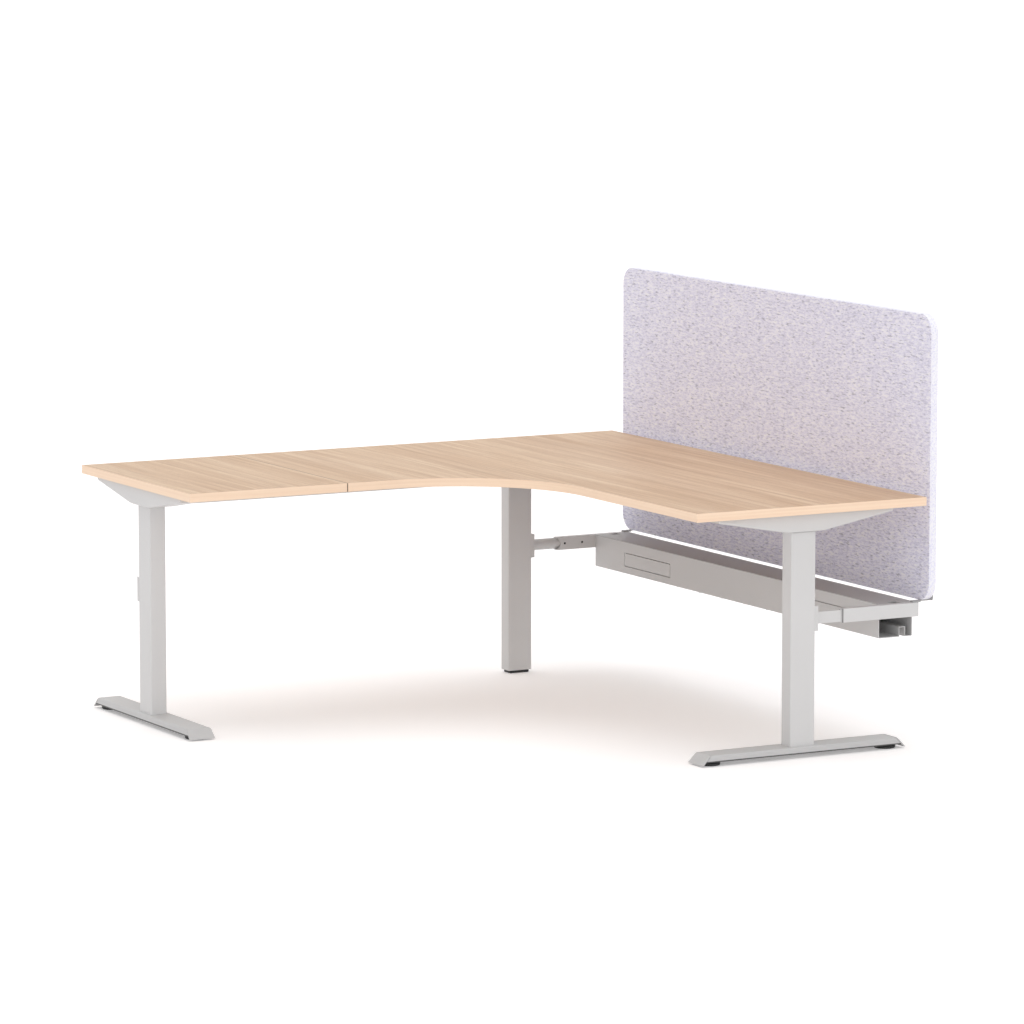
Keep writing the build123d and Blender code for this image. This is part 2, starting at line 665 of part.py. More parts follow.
def tee_screws():
    seat = Z_UNDER - RAIL_HEIGHT - JOINING_THICKNESS
    screws = []
    for x, y in tee_screw_places():
        head = bar_z(SCREW_HEAD, seat - SCREW_HEAD_HEIGHT, seat, x, y)
        screws.append(head + bar_z(SCREW_RADIUS, seat, Z_UNDER - RAIL_HEIGHT + RAIL_WALL, x, y))
    return [place * screw for place in tee_places() for screw in screws]


def tee_pilots():
    low = Z_UNDER - RAIL_HEIGHT - CUT
    high = Z_UNDER - RAIL_HEIGHT + RAIL_WALL + CUT
    holes = [bar_z(SCREW_RADIUS + THREAD_FIT, low, high, x, y) for x, y in tee_screw_places()]
    return [place * hole for place in tee_places() for hole in holes]


def box_centre():
    return X_LEFT + BOX_FROM_CORNER + BOX_LENGTH / 2


def control_box():
    """Motor controller with a row of sockets in its rear side and an ear at each end."""
    x, y = box_centre(), Y_MAIN
    plan = Pos(x, y) * RectangleRounded(BOX_LENGTH, BOX_WIDTH, BOX_ROUND)
    box = along_z(plan, Z_UNDER - BOX_HEIGHT, Z_UNDER)
    lower = box.edges().group_by(Axis.Z)[0]
    box = chamfer(lower, BOX_ROUND / 2)
    ears = Pos(x, y) * RectangleRounded(BOX_LENGTH + 4 * BOX_EAR, 2 * BOX_EAR, BOX_ROUND)
    box += along_z(ears, Z_UNDER - BOX_EAR_THICKNESS, Z_UNDER)
    middle = Z_UNDER - BOX_HEIGHT / 2
    rear = (y + BOX_WIDTH / 2 - BOX_SOCKET_DEPTH, y + BOX_WIDTH / 2 + CUT)
    for i in range(-2, 3):
        centre = x + i * BOX_SOCKET_PITCH
        across = (centre - BOX_SOCKET_WIDTH / 2, centre + BOX_SOCKET_WIDTH / 2)
        box -= block(across, rear, (middle - BOX_SOCKET_HEIGHT / 2, middle + BOX_SOCKET_HEIGHT / 2))
    for end in both_signs(BOX_LENGTH / 2 + BOX_EAR):
        hole = SCREW_RADIUS + BOLT_CLEARANCE
        box -= bar_z(hole, Z_UNDER - BOX_EAR_THICKNESS - CUT, Z_UNDER + CUT, x + end, y)
    return box


# Accessory plates and arms, in the leg's frame
def plate_places():
    return [(x, PLATE_CENTRE + z) for x, z in bolt_places(PLATE_BOLT_X, PLATE_BOLT_Z)]


def accessory_plate(low, high, hole):
    """A plate with four holes and bevelled rims, between two distances behind the column's axis."""
    plan = Pos(0, PLATE_CENTRE) * RectangleRounded(PLATE_WIDTH, PLATE_HEIGHT, PLATE_ROUND)
    plate = along_y(plan, low, high)
    rims = plate.edges().group_by(Axis.Y)
    plate = chamfer(rims[0] + rims[-1], PLATE_CHAMFER)
    for x, z in plate_places():
        plate -= bar_y(hole, low - CUT, high + CUT, x, z)
    return plate


def d_face(gap):
    """The D section of the inner member: flat outside, rounded inside, drawn in by gap."""
    tall = SLEEVE_HEIGHT / 2 - SLEEVE_WALL - ARM_PLAY - gap
    flat = SLEEVE_WIDTH / 2 - SLEEVE_WALL - ARM_PLAY - gap
    radius = ARM_ROUND - gap
    rounded = Pos(radius - flat, 0) * Circle(radius)
    return Pos(0, SLEEVE_CENTRE) * (rounded & pane(both_signs(flat), both_signs(tall)))


def arm_tube():
    """The inner member welded to its flange. The sleeve's flat outer side is at +X."""
    end = FLANGE_REAR + ARM_SHOWS + ARM_HELD
    tube = along_y(d_face(0) - d_face(ARM_WALL), FLANGE_REAR, end)
    tube += accessory_plate(PLATE_REAR, FLANGE_REAR, BOLT_RADIUS + BOLT_CLEARANCE)
    for x, z in plate_places():
        tube -= countersink(x, z, BOLT_FIT)
    return tube


def set_screw_places():
    first = SLEEVE_FRONT + SET_SCREW_FIRST
    return (first, first + SET_SCREW_PITCH)


def sleeve_face(gap):
    width, height = SLEEVE_WIDTH - 2 * gap, SLEEVE_HEIGHT - 2 * gap
    if gap < SLEEVE_ROUND:
        return Pos(0, SLEEVE_CENTRE) * RectangleRounded(width, height, SLEEVE_ROUND - gap)
    return Pos(0, SLEEVE_CENTRE) * Rectangle(width, height)


def hook_screw(radius, low, high):
    """The upright screw of a screen bracket, or its hole, close to the end of the sleeve."""
    return bar_z(radius, low, high, 0, SLEEVE_END - CAP_THICKNESS - HOOK_SCREW_FROM_CAP)


def hanger_bolt_places():
    middle = (TRAY_FRONT + TRAY_REAR) / 2
    return [middle + y for y in both_signs(HANGER_BOLT_Y)]


def arm_sleeve():
    """The outer member, with the round notch in the inner side of its mouth."""
    tube = sleeve_face(0) - sleeve_face(SLEEVE_WALL)
    sleeve = along_y(tube, SLEEVE_FRONT, SLEEVE_END - CAP_THICKNESS)
    inner_side = (-SLEEVE_WIDTH / 2 - CUT, SLEEVE_WALL - SLEEVE_WIDTH / 2)
    notch = SLEEVE_FRONT + NOTCH_DEPTH - NOTCH_RADIUS
    sleeve -= bar_x(NOTCH_RADIUS, *inner_side, notch, SLEEVE_CENTRE)
    for y in set_screw_places():
        sleeve -= bar_x(SET_SCREW_RADIUS + THREAD_FIT, *inner_side, y, SLEEVE_CENTRE)
    for y in hanger_bolt_places():
        height = LID_UNDER - HANGER_BOLT_DROP
        sleeve -= bar_x(HANGER_BOLT_RADIUS + BOLT_FIT, *inner_side, y, height)
    return sleeve - hook_screw(SMALL_SCREW_RADIUS + BOLT_FIT, SLEEVE_CENTRE, SLEEVE_TOP + CUT)


def arm_end_cap():
    """A cap with a block inside the sleeve that takes the screen bracket's screw."""
    mouth = SLEEVE_END - CAP_THICKNESS
    cap = along_y(sleeve_face(SLEEVE_WALL), mouth - CAP_PLUG, mouth)
    cap += along_y(sleeve_face(0), mouth, SLEEVE_END)
    low = SLEEVE_TOP - SLEEVE_WALL - HOOK_SCREW_BITE
    return cap - hook_screw(SMALL_SCREW_RADIUS + THREAD_FIT, low, SLEEVE_TOP)


def countersink(x, z, gap):
    """A countersunk head behind the flange, grown by gap."""
    depth = BOLT_SINK - BOLT_RADIUS
    place = Pos(x, FLANGE_REAR - depth / 2, z) * Rot(-90, 0, 0)
    return place * Cone(BOLT_RADIUS + gap, BOLT_SINK + gap, depth)


def flange_bolts():
    """From behind the flange into the tapped accessory plate, in the leg's frame."""
    bolts = []
    for x, z in plate_places():
        bolt = bar_y(BOLT_RADIUS, COLUMN_LONG / 2, FLANGE_REAR, x, z) + countersink(x, z, 0)
        hexagon = Pos(x, z) * RegularPolygon(BOLT_SOCKET, 6)
        bolts.append(bolt - along_y(hexagon, FLANGE_REAR - BOLT_SOCKET_DEPTH, FLANGE_REAR))
    return bolts


def set_screws():
    """Lock the two members of an arm. Each is sunk a little in the sleeve's inner side."""
    outer = SET_SCREW_SUNK - SLEEVE_WIDTH / 2
    inner = SLEEVE_WALL - SLEEVE_WIDTH / 2
    screws = []
    for y in set_screw_places():
        hexagon = Pos(y, SLEEVE_CENTRE) * RegularPolygon(SET_SCREW_SOCKET, 6)
        screw = bar_x(SET_SCREW_RADIUS, outer, inner, y, SLEEVE_CENTRE)
        screws.append(screw - along_x(hexagon, outer, outer + SET_SCREW_SOCKET_DEPTH))
    return screws


# Cable tray
def tray_hanger():
    """An angle on the sleeve's inner side. Its notched flat leg carries the lid."""
    side = -SLEEVE_WIDTH / 2
    low = TRAY_FRONT + TRAY_WALL + TRAY_FLANGE + HANGER_GAP
    high = TRAY_REAR - TRAY_WALL - TRAY_FLANGE - HANGER_GAP
    web = side - HANGER_THICKNESS
    under = LID_UNDER - HANGER_THICKNESS
    hanger = block((web, side), (low, high), (LID_UNDER - HANGER_DROP, LID_UNDER))
    hanger += block((side - HANGER_LEG, side), (low, high), (under, LID_UNDER))
    hanger -= outlet(under - CUT, LID_UNDER + CUT, HANGER_THICKNESS)
    hole = HANGER_BOLT_RADIUS + BOLT_FIT
    for y in hanger_bolt_places():
        hanger -= bar_x(hole, web - CUT, side + CUT, y, LID_UNDER - HANGER_BOLT_DROP)
        hanger -= bar_z(hole, under - CUT, LID_UNDER + CUT, shelf_screw_x(), y)
    return hanger


def outlet(low, high, from_end):
    """The notch that cables leave the tray by, cut in from the end beside the sleeve."""
    edge = -SLEEVE_WIDTH / 2 - from_end
    across = (OUTLET_REAR - OUTLET_WIDTH, OUTLET_REAR)
    return block((edge - OUTLET_LENGTH, edge), across, (low, high))


def shelf_screw_x():
    return -SLEEVE_WIDTH / 2 - HANGER_LEG + SCREW_INSET


def hanger_fixings():
    """Bolts into the sleeve and screws up into the lid, in the arm's frame."""
    side = -SLEEVE_WIDTH / 2
    fixings = []
    for y in hanger_bolt_places():
        height = LID_UNDER - HANGER_BOLT_DROP
        seat = side - HANGER_THICKNESS
        bolt = bar_x(HANGER_HEAD_RADIUS, seat - HANGER_HEAD_HEIGHT, seat, y, height)
        fixings.append(bolt + bar_x(HANGER_BOLT_RADIUS, seat, side + SLEEVE_WALL, y, height))
        seat = LID_UNDER - HANGER_THICKNESS
        screw = bar_z(HANGER_HEAD_RADIUS, seat - HANGER_HEAD_HEIGHT, seat, shelf_screw_x(), y)
        fixings.append(screw + bar_z(HANGER_BOLT_RADIUS, seat, LID_UNDER, shelf_screw_x(), y))
    return fixings


def tray_profile():
    """Folded section: front wall, floor with an inverted U rib, rear wall and two flanges."""
    deep = (TRAY_FRONT, TRAY_REAR)
    inside = (TRAY_FRONT + TRAY_WALL, TRAY_REAR - TRAY_WALL)
    floor = TRAY_BOTTOM + TRAY_WALL
    outer = pane(deep, (TRAY_BOTTOM, LID_UNDER))
    bends = outer.vertices().group_by(Axis.Y)[0]
    section = fillet(bends, TRAY_BEND) - pane(inside, (floor, LID_UNDER))
    rib = (TRAY_REAR - RIB_FROM_REAR - RIB_WIDTH, TRAY_REAR - RIB_FROM_REAR)
    section += pane(rib, (TRAY_BOTTOM, TRAY_BOTTOM + RIB_HEIGHT))
    hollow = (rib[0] + TRAY_WALL, rib[1] - TRAY_WALL)
    section -= pane(hollow, (TRAY_BOTTOM, TRAY_BOTTOM + RIB_HEIGHT - TRAY_WALL))
    for edge, inward in ((inside[0], TRAY_FLANGE), (inside[1], -TRAY_FLANGE)):
        section += pane(sorted((edge, edge + inward)), (LID_UNDER - TRAY_WALL, LID_UNDER))
    return section


def cover_height():
    return TRAY_BOTTOM + COVER_ABOVE_FLOOR


def lid_screw_places():
    reach = LID_SCREW_PITCH * (LID_SCREWS_PER_EDGE - 1) / 2
    columns = [i * LID_SCREW_PITCH - reach for i in range(LID_SCREWS_PER_EDGE)]
    rows = (TRAY_FRONT + TRAY_WALL + TRAY_FLANGE / 2, TRAY_REAR - TRAY_WALL - TRAY_FLANGE / 2)
    return [(x, y) for x in columns for y in rows]


def rivet_places():
    reach = RIVET_PITCH * (RIVETS - 1) / 2
    return [i * RIVET_PITCH - reach for i in range(RIVETS)]


def cable_tray():
    tray = along_x(tray_profile(), -TRAY_END, TRAY_END)
    sizes = [size + 2 * COVER_GROOVE for size in (COVER_LENGTH, COVER_HEIGHT)]
    plan = RectangleRounded(*sizes, COVER_GROOVE)
    for x in both_signs(TRAY_END - COVER_FROM_END):
        window = Pos(x, cover_height()) * plan
        tray -= along_y(window, TRAY_FRONT - CUT, TRAY_FRONT + TRAY_WALL + CUT)
    hole = SMALL_SCREW_RADIUS + BOLT_FIT
    for x, y in lid_screw_places():
        tray -= bar_z(hole, LID_UNDER - TRAY_WALL - CUT, LID_UNDER + CUT, x, y)
    hole = RIVET_RADIUS / 2 + THREAD_FIT
    for x in rivet_places():
        y = TRAY_FRONT + RIVET_INSET
        tray -= bar_z(hole, TRAY_BOTTOM - CUT, TRAY_BOTTOM + TRAY_WALL + CUT, x, y)
    return tray


def tray_lid():
    """A flat lid between the sleeves, flush with their tops, with a cable notch at each end."""
    lid = block(both_signs(TRAY_END), (TRAY_FRONT, SLEEVE_END), (LID_UNDER, SLEEVE_TOP))
    cut = outlet(LID_UNDER - CUT, SLEEVE_TOP + CUT, 0)
    for shape in (Pos(X_ARM, 0, 0) * cut, Pos(-X_ARM, 0, 0) * mirror(cut, Plane.YZ)):
        lid -= shape
    for x, y in lid_screw_places():
        lid -= bar_z(SMALL_SCREW_RADIUS + BOLT_FIT, LID_UNDER - CUT, SLEEVE_TOP + CUT, x, y)
    return lid


def blank_cover(x):
    """A pressed pan, flush in its cut-out, whose rim stands on four posts inside the tray."""
    place = Pos(x, cover_height())
    rim = TRAY_FRONT + COVER_DEPTH
    back = rim + COVER_RIM
    sizes = [size + 2 * COVER_RIM_MARGIN for size in (COVER_LENGTH, COVER_HEIGHT)]
    hollow = [size - 2 * COVER_SKIN for size in (COVER_LENGTH, COVER_HEIGHT)]
    cover = along_y(place * RectangleRounded(COVER_LENGTH, COVER_HEIGHT, COVER_ROUND), TRAY_FRONT, back)
    cover += along_y(place * RectangleRounded(*sizes, COVER_ROUND), rim, back)
    cover -= along_y(place * Rectangle(*hollow), TRAY_FRONT + COVER_SKIN, back)
    across, up = COVER_LENGTH / 2 + COVER_POST_OUT, COVER_HEIGHT / 2 - COVER_POST_IN
    for i, j in bolt_places(across, up):
        cover += bar_y(COVER_POST_RADIUS, TRAY_FRONT + TRAY_WALL, rim, x + i, cover_height() + j)
    return cover


def lid_screw(x, y):
    """A flush screw through the lid into a flange of the tray."""
    return bar_z(SMALL_SCREW_RADIUS, LID_UNDER - TRAY_WALL, SLEEVE_TOP, x, y)


def rivet(x):
    """A rivet of the tray's floor, with a round head below and one above."""
    y = TRAY_FRONT + RIVET_INSET
    floor = TRAY_BOTTOM + TRAY_WALL
    shank = bar_z(RIVET_RADIUS / 2, TRAY_BOTTOM, floor, x, y)
    shank += bar_z(RIVET_RADIUS, TRAY_BOTTOM - RIVET_HEIGHT, TRAY_BOTTOM, x, y)
    return shank + bar_z(RIVET_RADIUS, floor, floor + TRAY_WALL, x, y)


# Screen
def screen_panel():
    middle = SCREEN_BOTTOM + SCREEN_HEIGHT / 2
    plan = Pos(0, middle) * RectangleRounded(SCREEN_LENGTH, SCREEN_HEIGHT, SCREEN_CORNER)
    panel = along_y(plan, SCREEN_FRONT, SCREEN_REAR)
    faces = panel.edges().group_by(Axis.Y)
    panel = fillet(faces[0] + faces[-1], SCREEN_EDGE)
    for arm in both_signs(X_ARM):
        for x, z in upright_screw_places():
            hole = SMALL_SCREW_RADIUS + THREAD_FIT
            panel -= bar_y(hole, SCREEN_REAR - PANEL_BITE, SCREEN_REAR + CUT, arm + x, z)
    return panel


def upright_screw_places():
    low, high = SCREEN_BOTTOM + UPRIGHT_SCREW_LOW, SCREEN_BOTTOM + UPRIGHT_SCREW_HIGH
    return [(x, z) for z in (low, high) for x in both_signs(UPRIGHT_SCREW_X)]


def screen_bracket():
    """A tongue on the sleeve, a sole under the screen and a plate behind it, in the arm's frame."""
    wide = both_signs(HOOK_WIDTH / 2)
    rear = SCREEN_REAR + UPRIGHT_THICKNESS
    sole = SCREEN_BOTTOM - HOOK_SOLE
    bracket = block(wide, (SLEEVE_END - HOOK_FORWARD, SCREEN_FRONT), (SLEEVE_TOP, SCREEN_BOTTOM))
    bracket += block(wide, (SCREEN_FRONT, rear), (sole, SCREEN_BOTTOM))
    top = SCREEN_BOTTOM + UPRIGHT_HEIGHT
    plan = RectangleRounded(UPRIGHT_WIDTH, UPRIGHT_HEIGHT, UPRIGHT_ROUND)
    bracket += along_y(Pos(0, (SCREEN_BOTTOM + top) / 2) * plan, SCREEN_REAR, rear)
    bracket += block(wide, (SCREEN_REAR, rear), (sole, top - UPRIGHT_ROUND))
    for x, z in upright_screw_places():
        bracket -= bar_y(SMALL_SCREW_RADIUS + BOLT_FIT, SCREEN_REAR - CUT, rear + CUT, x, z)
    return bracket - hook_screw(SMALL_SCREW_RADIUS + BOLT_FIT, SLEEVE_CENTRE, SCREEN_BOTTOM + CUT)


def bracket_screws():
    """Flush screws down into the end cap and forward into the panel, in the arm's frame."""
    low = SLEEVE_TOP - SLEEVE_WALL - HOOK_SCREW_BITE
    rear = SCREEN_REAR + UPRIGHT_THICKNESS
    tip = SCREEN_REAR - PANEL_BITE
    screws = [bar_y(SMALL_SCREW_RADIUS, tip, rear, x, z) for x, z in upright_screw_places()]
    return screws + [hook_screw(SMALL_SCREW_RADIUS, low, SCREEN_BOTTOM)]


# Assembly
def build_legs(parts):
    bolts, caps, bushes, nuts, sliders, frame_bolts = [], [], [], [], [], []
    for name, (place, motor_side, has_foot) in LEGS.items():
        bottom = FOOT_HEIGHT if has_foot else CORNER_SEAT
        if has_foot:
            parts["foot_" + name] = place * foot()
            caps += [place * Rot(0, 0, turn) * foot_end_cap() for turn in (0, 180)]
            places = bolt_places(FOOT_BOLT_X, FOOT_BOLT_Y)
            bolts += [place * foot_bolt(x, y) for x, y in places]
        parts["outer_column_" + name] = place * outer_column(bottom)
        parts["spindle_post_" + name] = place * spindle_post(bottom, has_foot)
        tapped = BOLT_RADIUS + BOLT_FIT
        parts["leg_plate_" + name] = place * accessory_plate(COLUMN_LONG / 2, PLATE_REAR, tapped)
        parts["spindle_" + name] = place * spindle()
        parts["inner_column_" + name] = place * inner_column()
        parts["drive_unit_" + name] = place * drive_unit(motor_side)
        parts["wing_bracket_" + name] = place * wing_bracket(motor_side)
        bushes.append(place * guide_bush())
        nuts.append(place * lift_nut())
        sliders.append(place * column_slider())
        frame_bolts += [place * frame_bolt(motor_side, y) for y in both_signs(RAIL_OFFSET)]
    parts["foot_bolts"] = group(bolts)
    parts["foot_end_caps"] = group(caps)
    parts["guide_bushes"] = group(bushes)
    parts["lift_nuts"] = group(nuts)
    parts["column_sliders"] = group(sliders)
    parts["frame_bolts"] = group(frame_bolts + tee_screws())


def build_levellers(parts):
    reach = FOOT_LENGTH / 2 - GLIDE_FROM_TIP
    ends = {
        "right_front": ("right", -reach),
        "right_rear": ("right", reach),
        "left_outer": ("left", reach),
        "left_inner": ("left", -reach),
    }
    for name, (leg, y) in ends.items():
        glide = leveller(Circle(GLIDE_RADIUS), GLIDE_SEAT)
        parts["leveller_" + name] = LEGS[leg][0] * Pos(0, y, 0) * glide
    plan = RectangleRounded(CORNER_GLIDE_WIDTH, CORNER_GLIDE_LENGTH, CORNER_GLIDE_ROUND)
    parts["leveller_corner"] = LEGS["corner"][0] * leveller(plan, CORNER_SEAT)


def build_worktop(parts):
    half_gap = SEAM_GAP / 2
    boards = {"main": (Y_SEAM + half_gap, Y_REAR), "return": (Y_END, Y_SEAM - half_gap)}
    for name, (low, high) in boards.items():
        core, band = board(low, high)
        parts["tabletop_" + name] = core
        parts["edge_band_" + name] = band
    parts["joining_plates"] = group(seam_plates() + tee_plates())
    parts["main_rails"] = group(main_rails())
    parts["return_rails"] = group(return_rails())
    parts["control_box"] = control_box()
    parts["worktop_screws"] = group(worktop_screws())


def build_arms(parts):
    """The right arm is drawn with its outer side at +X, and the left one is its mirror image."""
    caps, fixings, tray_fixings, screws = [], [], [], []
    for name, leg, x in (("right", "right", X_ARM), ("left", "corner", -X_ARM)):
        place = Pos(x, 0, 0)

        def hand(shape):
            return shape if name == "right" else mirror(shape, Plane.YZ)

        parts["arm_tube_" + name] = LEGS[leg][0] * hand(arm_tube())
        parts["arm_sleeve_" + name] = place * hand(arm_sleeve())
        parts["tray_hanger_" + name] = place * hand(tray_hanger())
        parts["screen_bracket_" + name] = place * screen_bracket()
        caps.append(place * arm_end_cap())
        fixings += [LEGS[leg][0] * bolt for bolt in flange_bolts()]
        fixings += [place * hand(screw) for screw in set_screws()]
        tray_fixings += [place * hand(fixing) for fixing in hanger_fixings()]
        screws += [place * screw for screw in bracket_screws()]
    parts["arm_end_caps"] = group(caps)
    parts["arm_fixings"] = group(fixings)
    tray_fixings += [lid_screw(x, y) for x, y in lid_screw_places()]
    parts["tray_fixings"] = group(tray_fixings + [rivet(x) for x in rivet_places()])
    parts["screen_screws"] = group(screws)


def build_tray_and_screen(parts):
    parts["cable_tray"] = cable_tray()
    parts["tray_lid"] = tray_lid()
    parts["blank_cover_right"] = blank_cover(TRAY_END - COVER_FROM_END)
    parts["blank_cover_left"] = blank_cover(COVER_FROM_END - TRAY_END)
    parts["screen_panel"] = screen_panel()


def main():
    parts = {}
    build_legs(parts)
    build_levellers(parts)
    build_worktop(parts)
    build_arms(parts)
    build_tray_and_screen(parts)
    os.makedirs("parts", exist_ok=True)
    for name, shape in parts.items():
        export_step(shape, "parts/" + name + ".step")
    print(len(parts), "nodes written")


main()
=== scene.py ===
import json
import math

import bmesh
import bpy
from mathutils import Matrix, Vector


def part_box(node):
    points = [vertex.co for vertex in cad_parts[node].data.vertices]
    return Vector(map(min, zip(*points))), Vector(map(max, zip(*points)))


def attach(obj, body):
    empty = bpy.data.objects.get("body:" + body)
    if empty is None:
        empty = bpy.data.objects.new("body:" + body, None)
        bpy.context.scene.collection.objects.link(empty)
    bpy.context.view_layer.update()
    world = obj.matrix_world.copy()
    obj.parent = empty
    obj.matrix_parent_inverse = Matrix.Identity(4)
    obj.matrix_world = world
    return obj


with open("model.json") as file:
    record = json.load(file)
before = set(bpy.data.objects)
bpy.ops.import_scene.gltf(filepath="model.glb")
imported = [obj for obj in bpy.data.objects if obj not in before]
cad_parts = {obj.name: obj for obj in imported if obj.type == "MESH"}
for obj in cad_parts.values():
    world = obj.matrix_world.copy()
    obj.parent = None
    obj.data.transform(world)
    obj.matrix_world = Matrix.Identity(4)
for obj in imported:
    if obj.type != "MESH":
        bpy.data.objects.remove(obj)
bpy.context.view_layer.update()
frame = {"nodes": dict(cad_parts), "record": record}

NODES = frame["nodes"]

LOW = 0
HIGH = 1

# The photograph's camera
AZIMUTH = math.radians(61.482)
PITCH = math.radians(7.684)
CAMERA_PLACE = Vector((13.8437, -7.4913, 2.7506))
LENS = 193.04
SENSOR = 36.0
NEAREST_SEEN = 0.5
FARTHEST_SEEN = 200.0


def make_camera():
    data = bpy.data.cameras.new("camera")
    data.lens = LENS
    data.sensor_width = SENSOR
    data.clip_start = NEAREST_SEEN
    data.clip_end = FARTHEST_SEEN
    camera = bpy.data.objects.new("camera", data)
    bpy.context.scene.collection.objects.link(camera)
    ahead = Vector((
        -math.sin(AZIMUTH) * math.cos(PITCH),
        math.cos(AZIMUTH) * math.cos(PITCH),
        -math.sin(PITCH),
    ))
    right = Vector((math.cos(AZIMUTH), math.sin(AZIMUTH), 0.0))
    up = right.cross(ahead)
    turn = Matrix((right, up, -ahead)).transposed().to_4x4()
    camera.matrix_world = Matrix.Translation(CAMERA_PLACE) @ turn
    bpy.context.scene.camera = camera


# Node helpers
WHITE = (1.0, 1.0, 1.0)
HALFWAY = 0.5

# The Mix node's sockets for colours, by number because its other kinds have the same names
MIX_FIRST = 6
MIX_SECOND = 7
MIX_RESULT = 2


def scaled(colour, factor):
    return tuple(c * factor for c in colour)


class Nodes:
    """A node tree, with short ways to add and join nodes."""

    def __init__(self, tree):
        self.tree = tree

    def add(self, kind, **inputs):
        node = self.tree.nodes.new(kind)
        for name, value in inputs.items():
            self.feed(node.inputs[name.replace("_", " ")], value)
        return node

    def feed(self, socket, value):
        """Join another node's output to the socket, or give it a fixed value.

        A colour comes without its alpha."""
        if isinstance(value, bpy.types.NodeSocket):
            self.tree.links.new(value, socket)
        elif socket.type == "RGBA":
            socket.default_value = (*value, 1.0)
        else:
            socket.default_value = value

    def grey(self, factor, low=0.0, high=1.0, start=0.0, end=1.0):
        """Low where the factor is start, high where it is end, and no further outside them."""
        node = self.add("ShaderNodeMapRange", Value=factor, To_Min=low, To_Max=high)
        self.feed(node.inputs["From Min"], start)
        self.feed(node.inputs["From Max"], end)
        return node.outputs["Result"]

    def math(self, operation, first, second=0.0):
        node = self.add("ShaderNodeMath")
        node.operation = operation
        self.feed(node.inputs[0], first)
        self.feed(node.inputs[1], second)
        return node.outputs["Value"]

    def total(self, first, *others):
        """The sum of factors, each given with its share."""
        result = self.math("MULTIPLY", *first)
        for other in others:
            result = self.math("ADD", result, self.math("MULTIPLY", *other))
        return result

    def part(self, vector, axis):
        return self.add("ShaderNodeSeparateXYZ", Vector=vector).outputs[axis]

    def seen(self, first, *others):
        """1 for rays of the named kinds, 0 for all others."""
        rays = self.add("ShaderNodeLightPath").outputs
        result = rays[first]
        for other in others:
            result = self.math("MAXIMUM", result, rays[other])
        return result


class Shader(Nodes):
    """A material with one principled surface. Its place is where the point is in the frame."""

    def __init__(self, name, roughness=0.5, metallic=0.0):
        self.material = bpy.data.materials.new(name)
        self.material.use_nodes = True
        super().__init__(self.material.node_tree)
        self.surface = self.tree.nodes["Principled BSDF"].inputs
        self.feed(self.surface["Roughness"], roughness)
        self.feed(self.surface["Metallic"], metallic)
        self.place = self.add("ShaderNodeTexCoord").outputs["Object"]

    def stretched(self, scale, shift=(0.0, 0.0, 0.0)):
        node = self.add("ShaderNodeMapping", Vector=self.place, Scale=scale, Location=shift)
        return node.outputs["Vector"]

    def noise(self, vector, scale=1.0, detail=2.0, rough=0.5, distortion=0.0):
        node = self.add("ShaderNodeTexNoise", Vector=vector, Scale=scale, Detail=detail)
        self.feed(node.inputs["Roughness"], rough)
        self.feed(node.inputs["Distortion"], distortion)
        return node.outputs["Fac"]

    def ramp(self, factor, places, tones):
        """Three tones, each at its place along the factor."""
        node = self.add("ShaderNodeValToRGB", Fac=factor)
        elements = node.color_ramp.elements
        elements.new(HALFWAY)
        for element, place, tone in zip(elements, places, tones):
            element.position = place
            element.color = (*tone, 1.0)
        return node.outputs["Color"]

    def mix(self, factor, first, second):
        node = self.add("ShaderNodeMix")
        node.data_type = "RGBA"
        self.feed(node.inputs["Factor"], factor)
        self.feed(node.inputs[MIX_FIRST], first)
        self.feed(node.inputs[MIX_SECOND], second)
        return node.outputs[MIX_RESULT]

    def facing(self, axis):
        """How far the surface faces along the axis, from -1 to 1."""
        return self.part(self.add("ShaderNodeNewGeometry").outputs["Normal"], axis)

    def near(self, axis, place, reach):
        """1 within reach of a plane across the axis, fading to 0 at twice that distance."""
        away = self.math("ABSOLUTE", self.math("SUBTRACT", self.part(self.place, axis), place))
        return self.grey(away, low=1.0, high=0.0, start=reach, end=2.0 * reach)

    def finish(self, colour, relief, strength, depth, roughness=None):
        """Give the surface its colour, a relief of the depth in metres, and its roughness."""
        bump = self.add("ShaderNodeBump", Height=relief, Strength=strength, Distance=depth)
        self.feed(self.surface["Base Color"], colour)
        self.feed(self.surface["Normal"], bump.outputs["Normal"])
        if roughness is not None:
            self.feed(self.surface["Roughness"], roughness)
        return self.material


# Materials
COAT_SHADES = ((0.975, 0.970, 0.970), (1.015, 1.010, 1.010))
# Painted shade: the dark line where a sleeve's mouth meets its inner member
MOUTH_SHADE_TONE = (0.22, 0.215, 0.215)
# Painted shade: the dark line under the feet's walls, and how far it fades
GAP_SHADE_TONE = (0.06, 0.06, 0.06)
GAP_SHADE_FADE = 0.0006
SEAM_TONE = (0.20, 0.13, 0.09)
SEAM_REACH = 0.0012
OAK_TONES = ((0.52, 0.323, 0.185), (0.635, 0.43, 0.272), (0.745, 0.55, 0.375))
BAND_TONES = ((0.94, 0.70, 0.515), (0.965, 0.73, 0.54), (0.985, 0.755, 0.565))
FELT_TONES = ((0.61, 0.605, 0.755), (0.80, 0.795, 0.965), (0.945, 0.94, 1.0))
# Painted light: the lighter tone of the felt's edge faces
FELT_EDGE_LIGHT = (0.98, 0.975, 1.0)


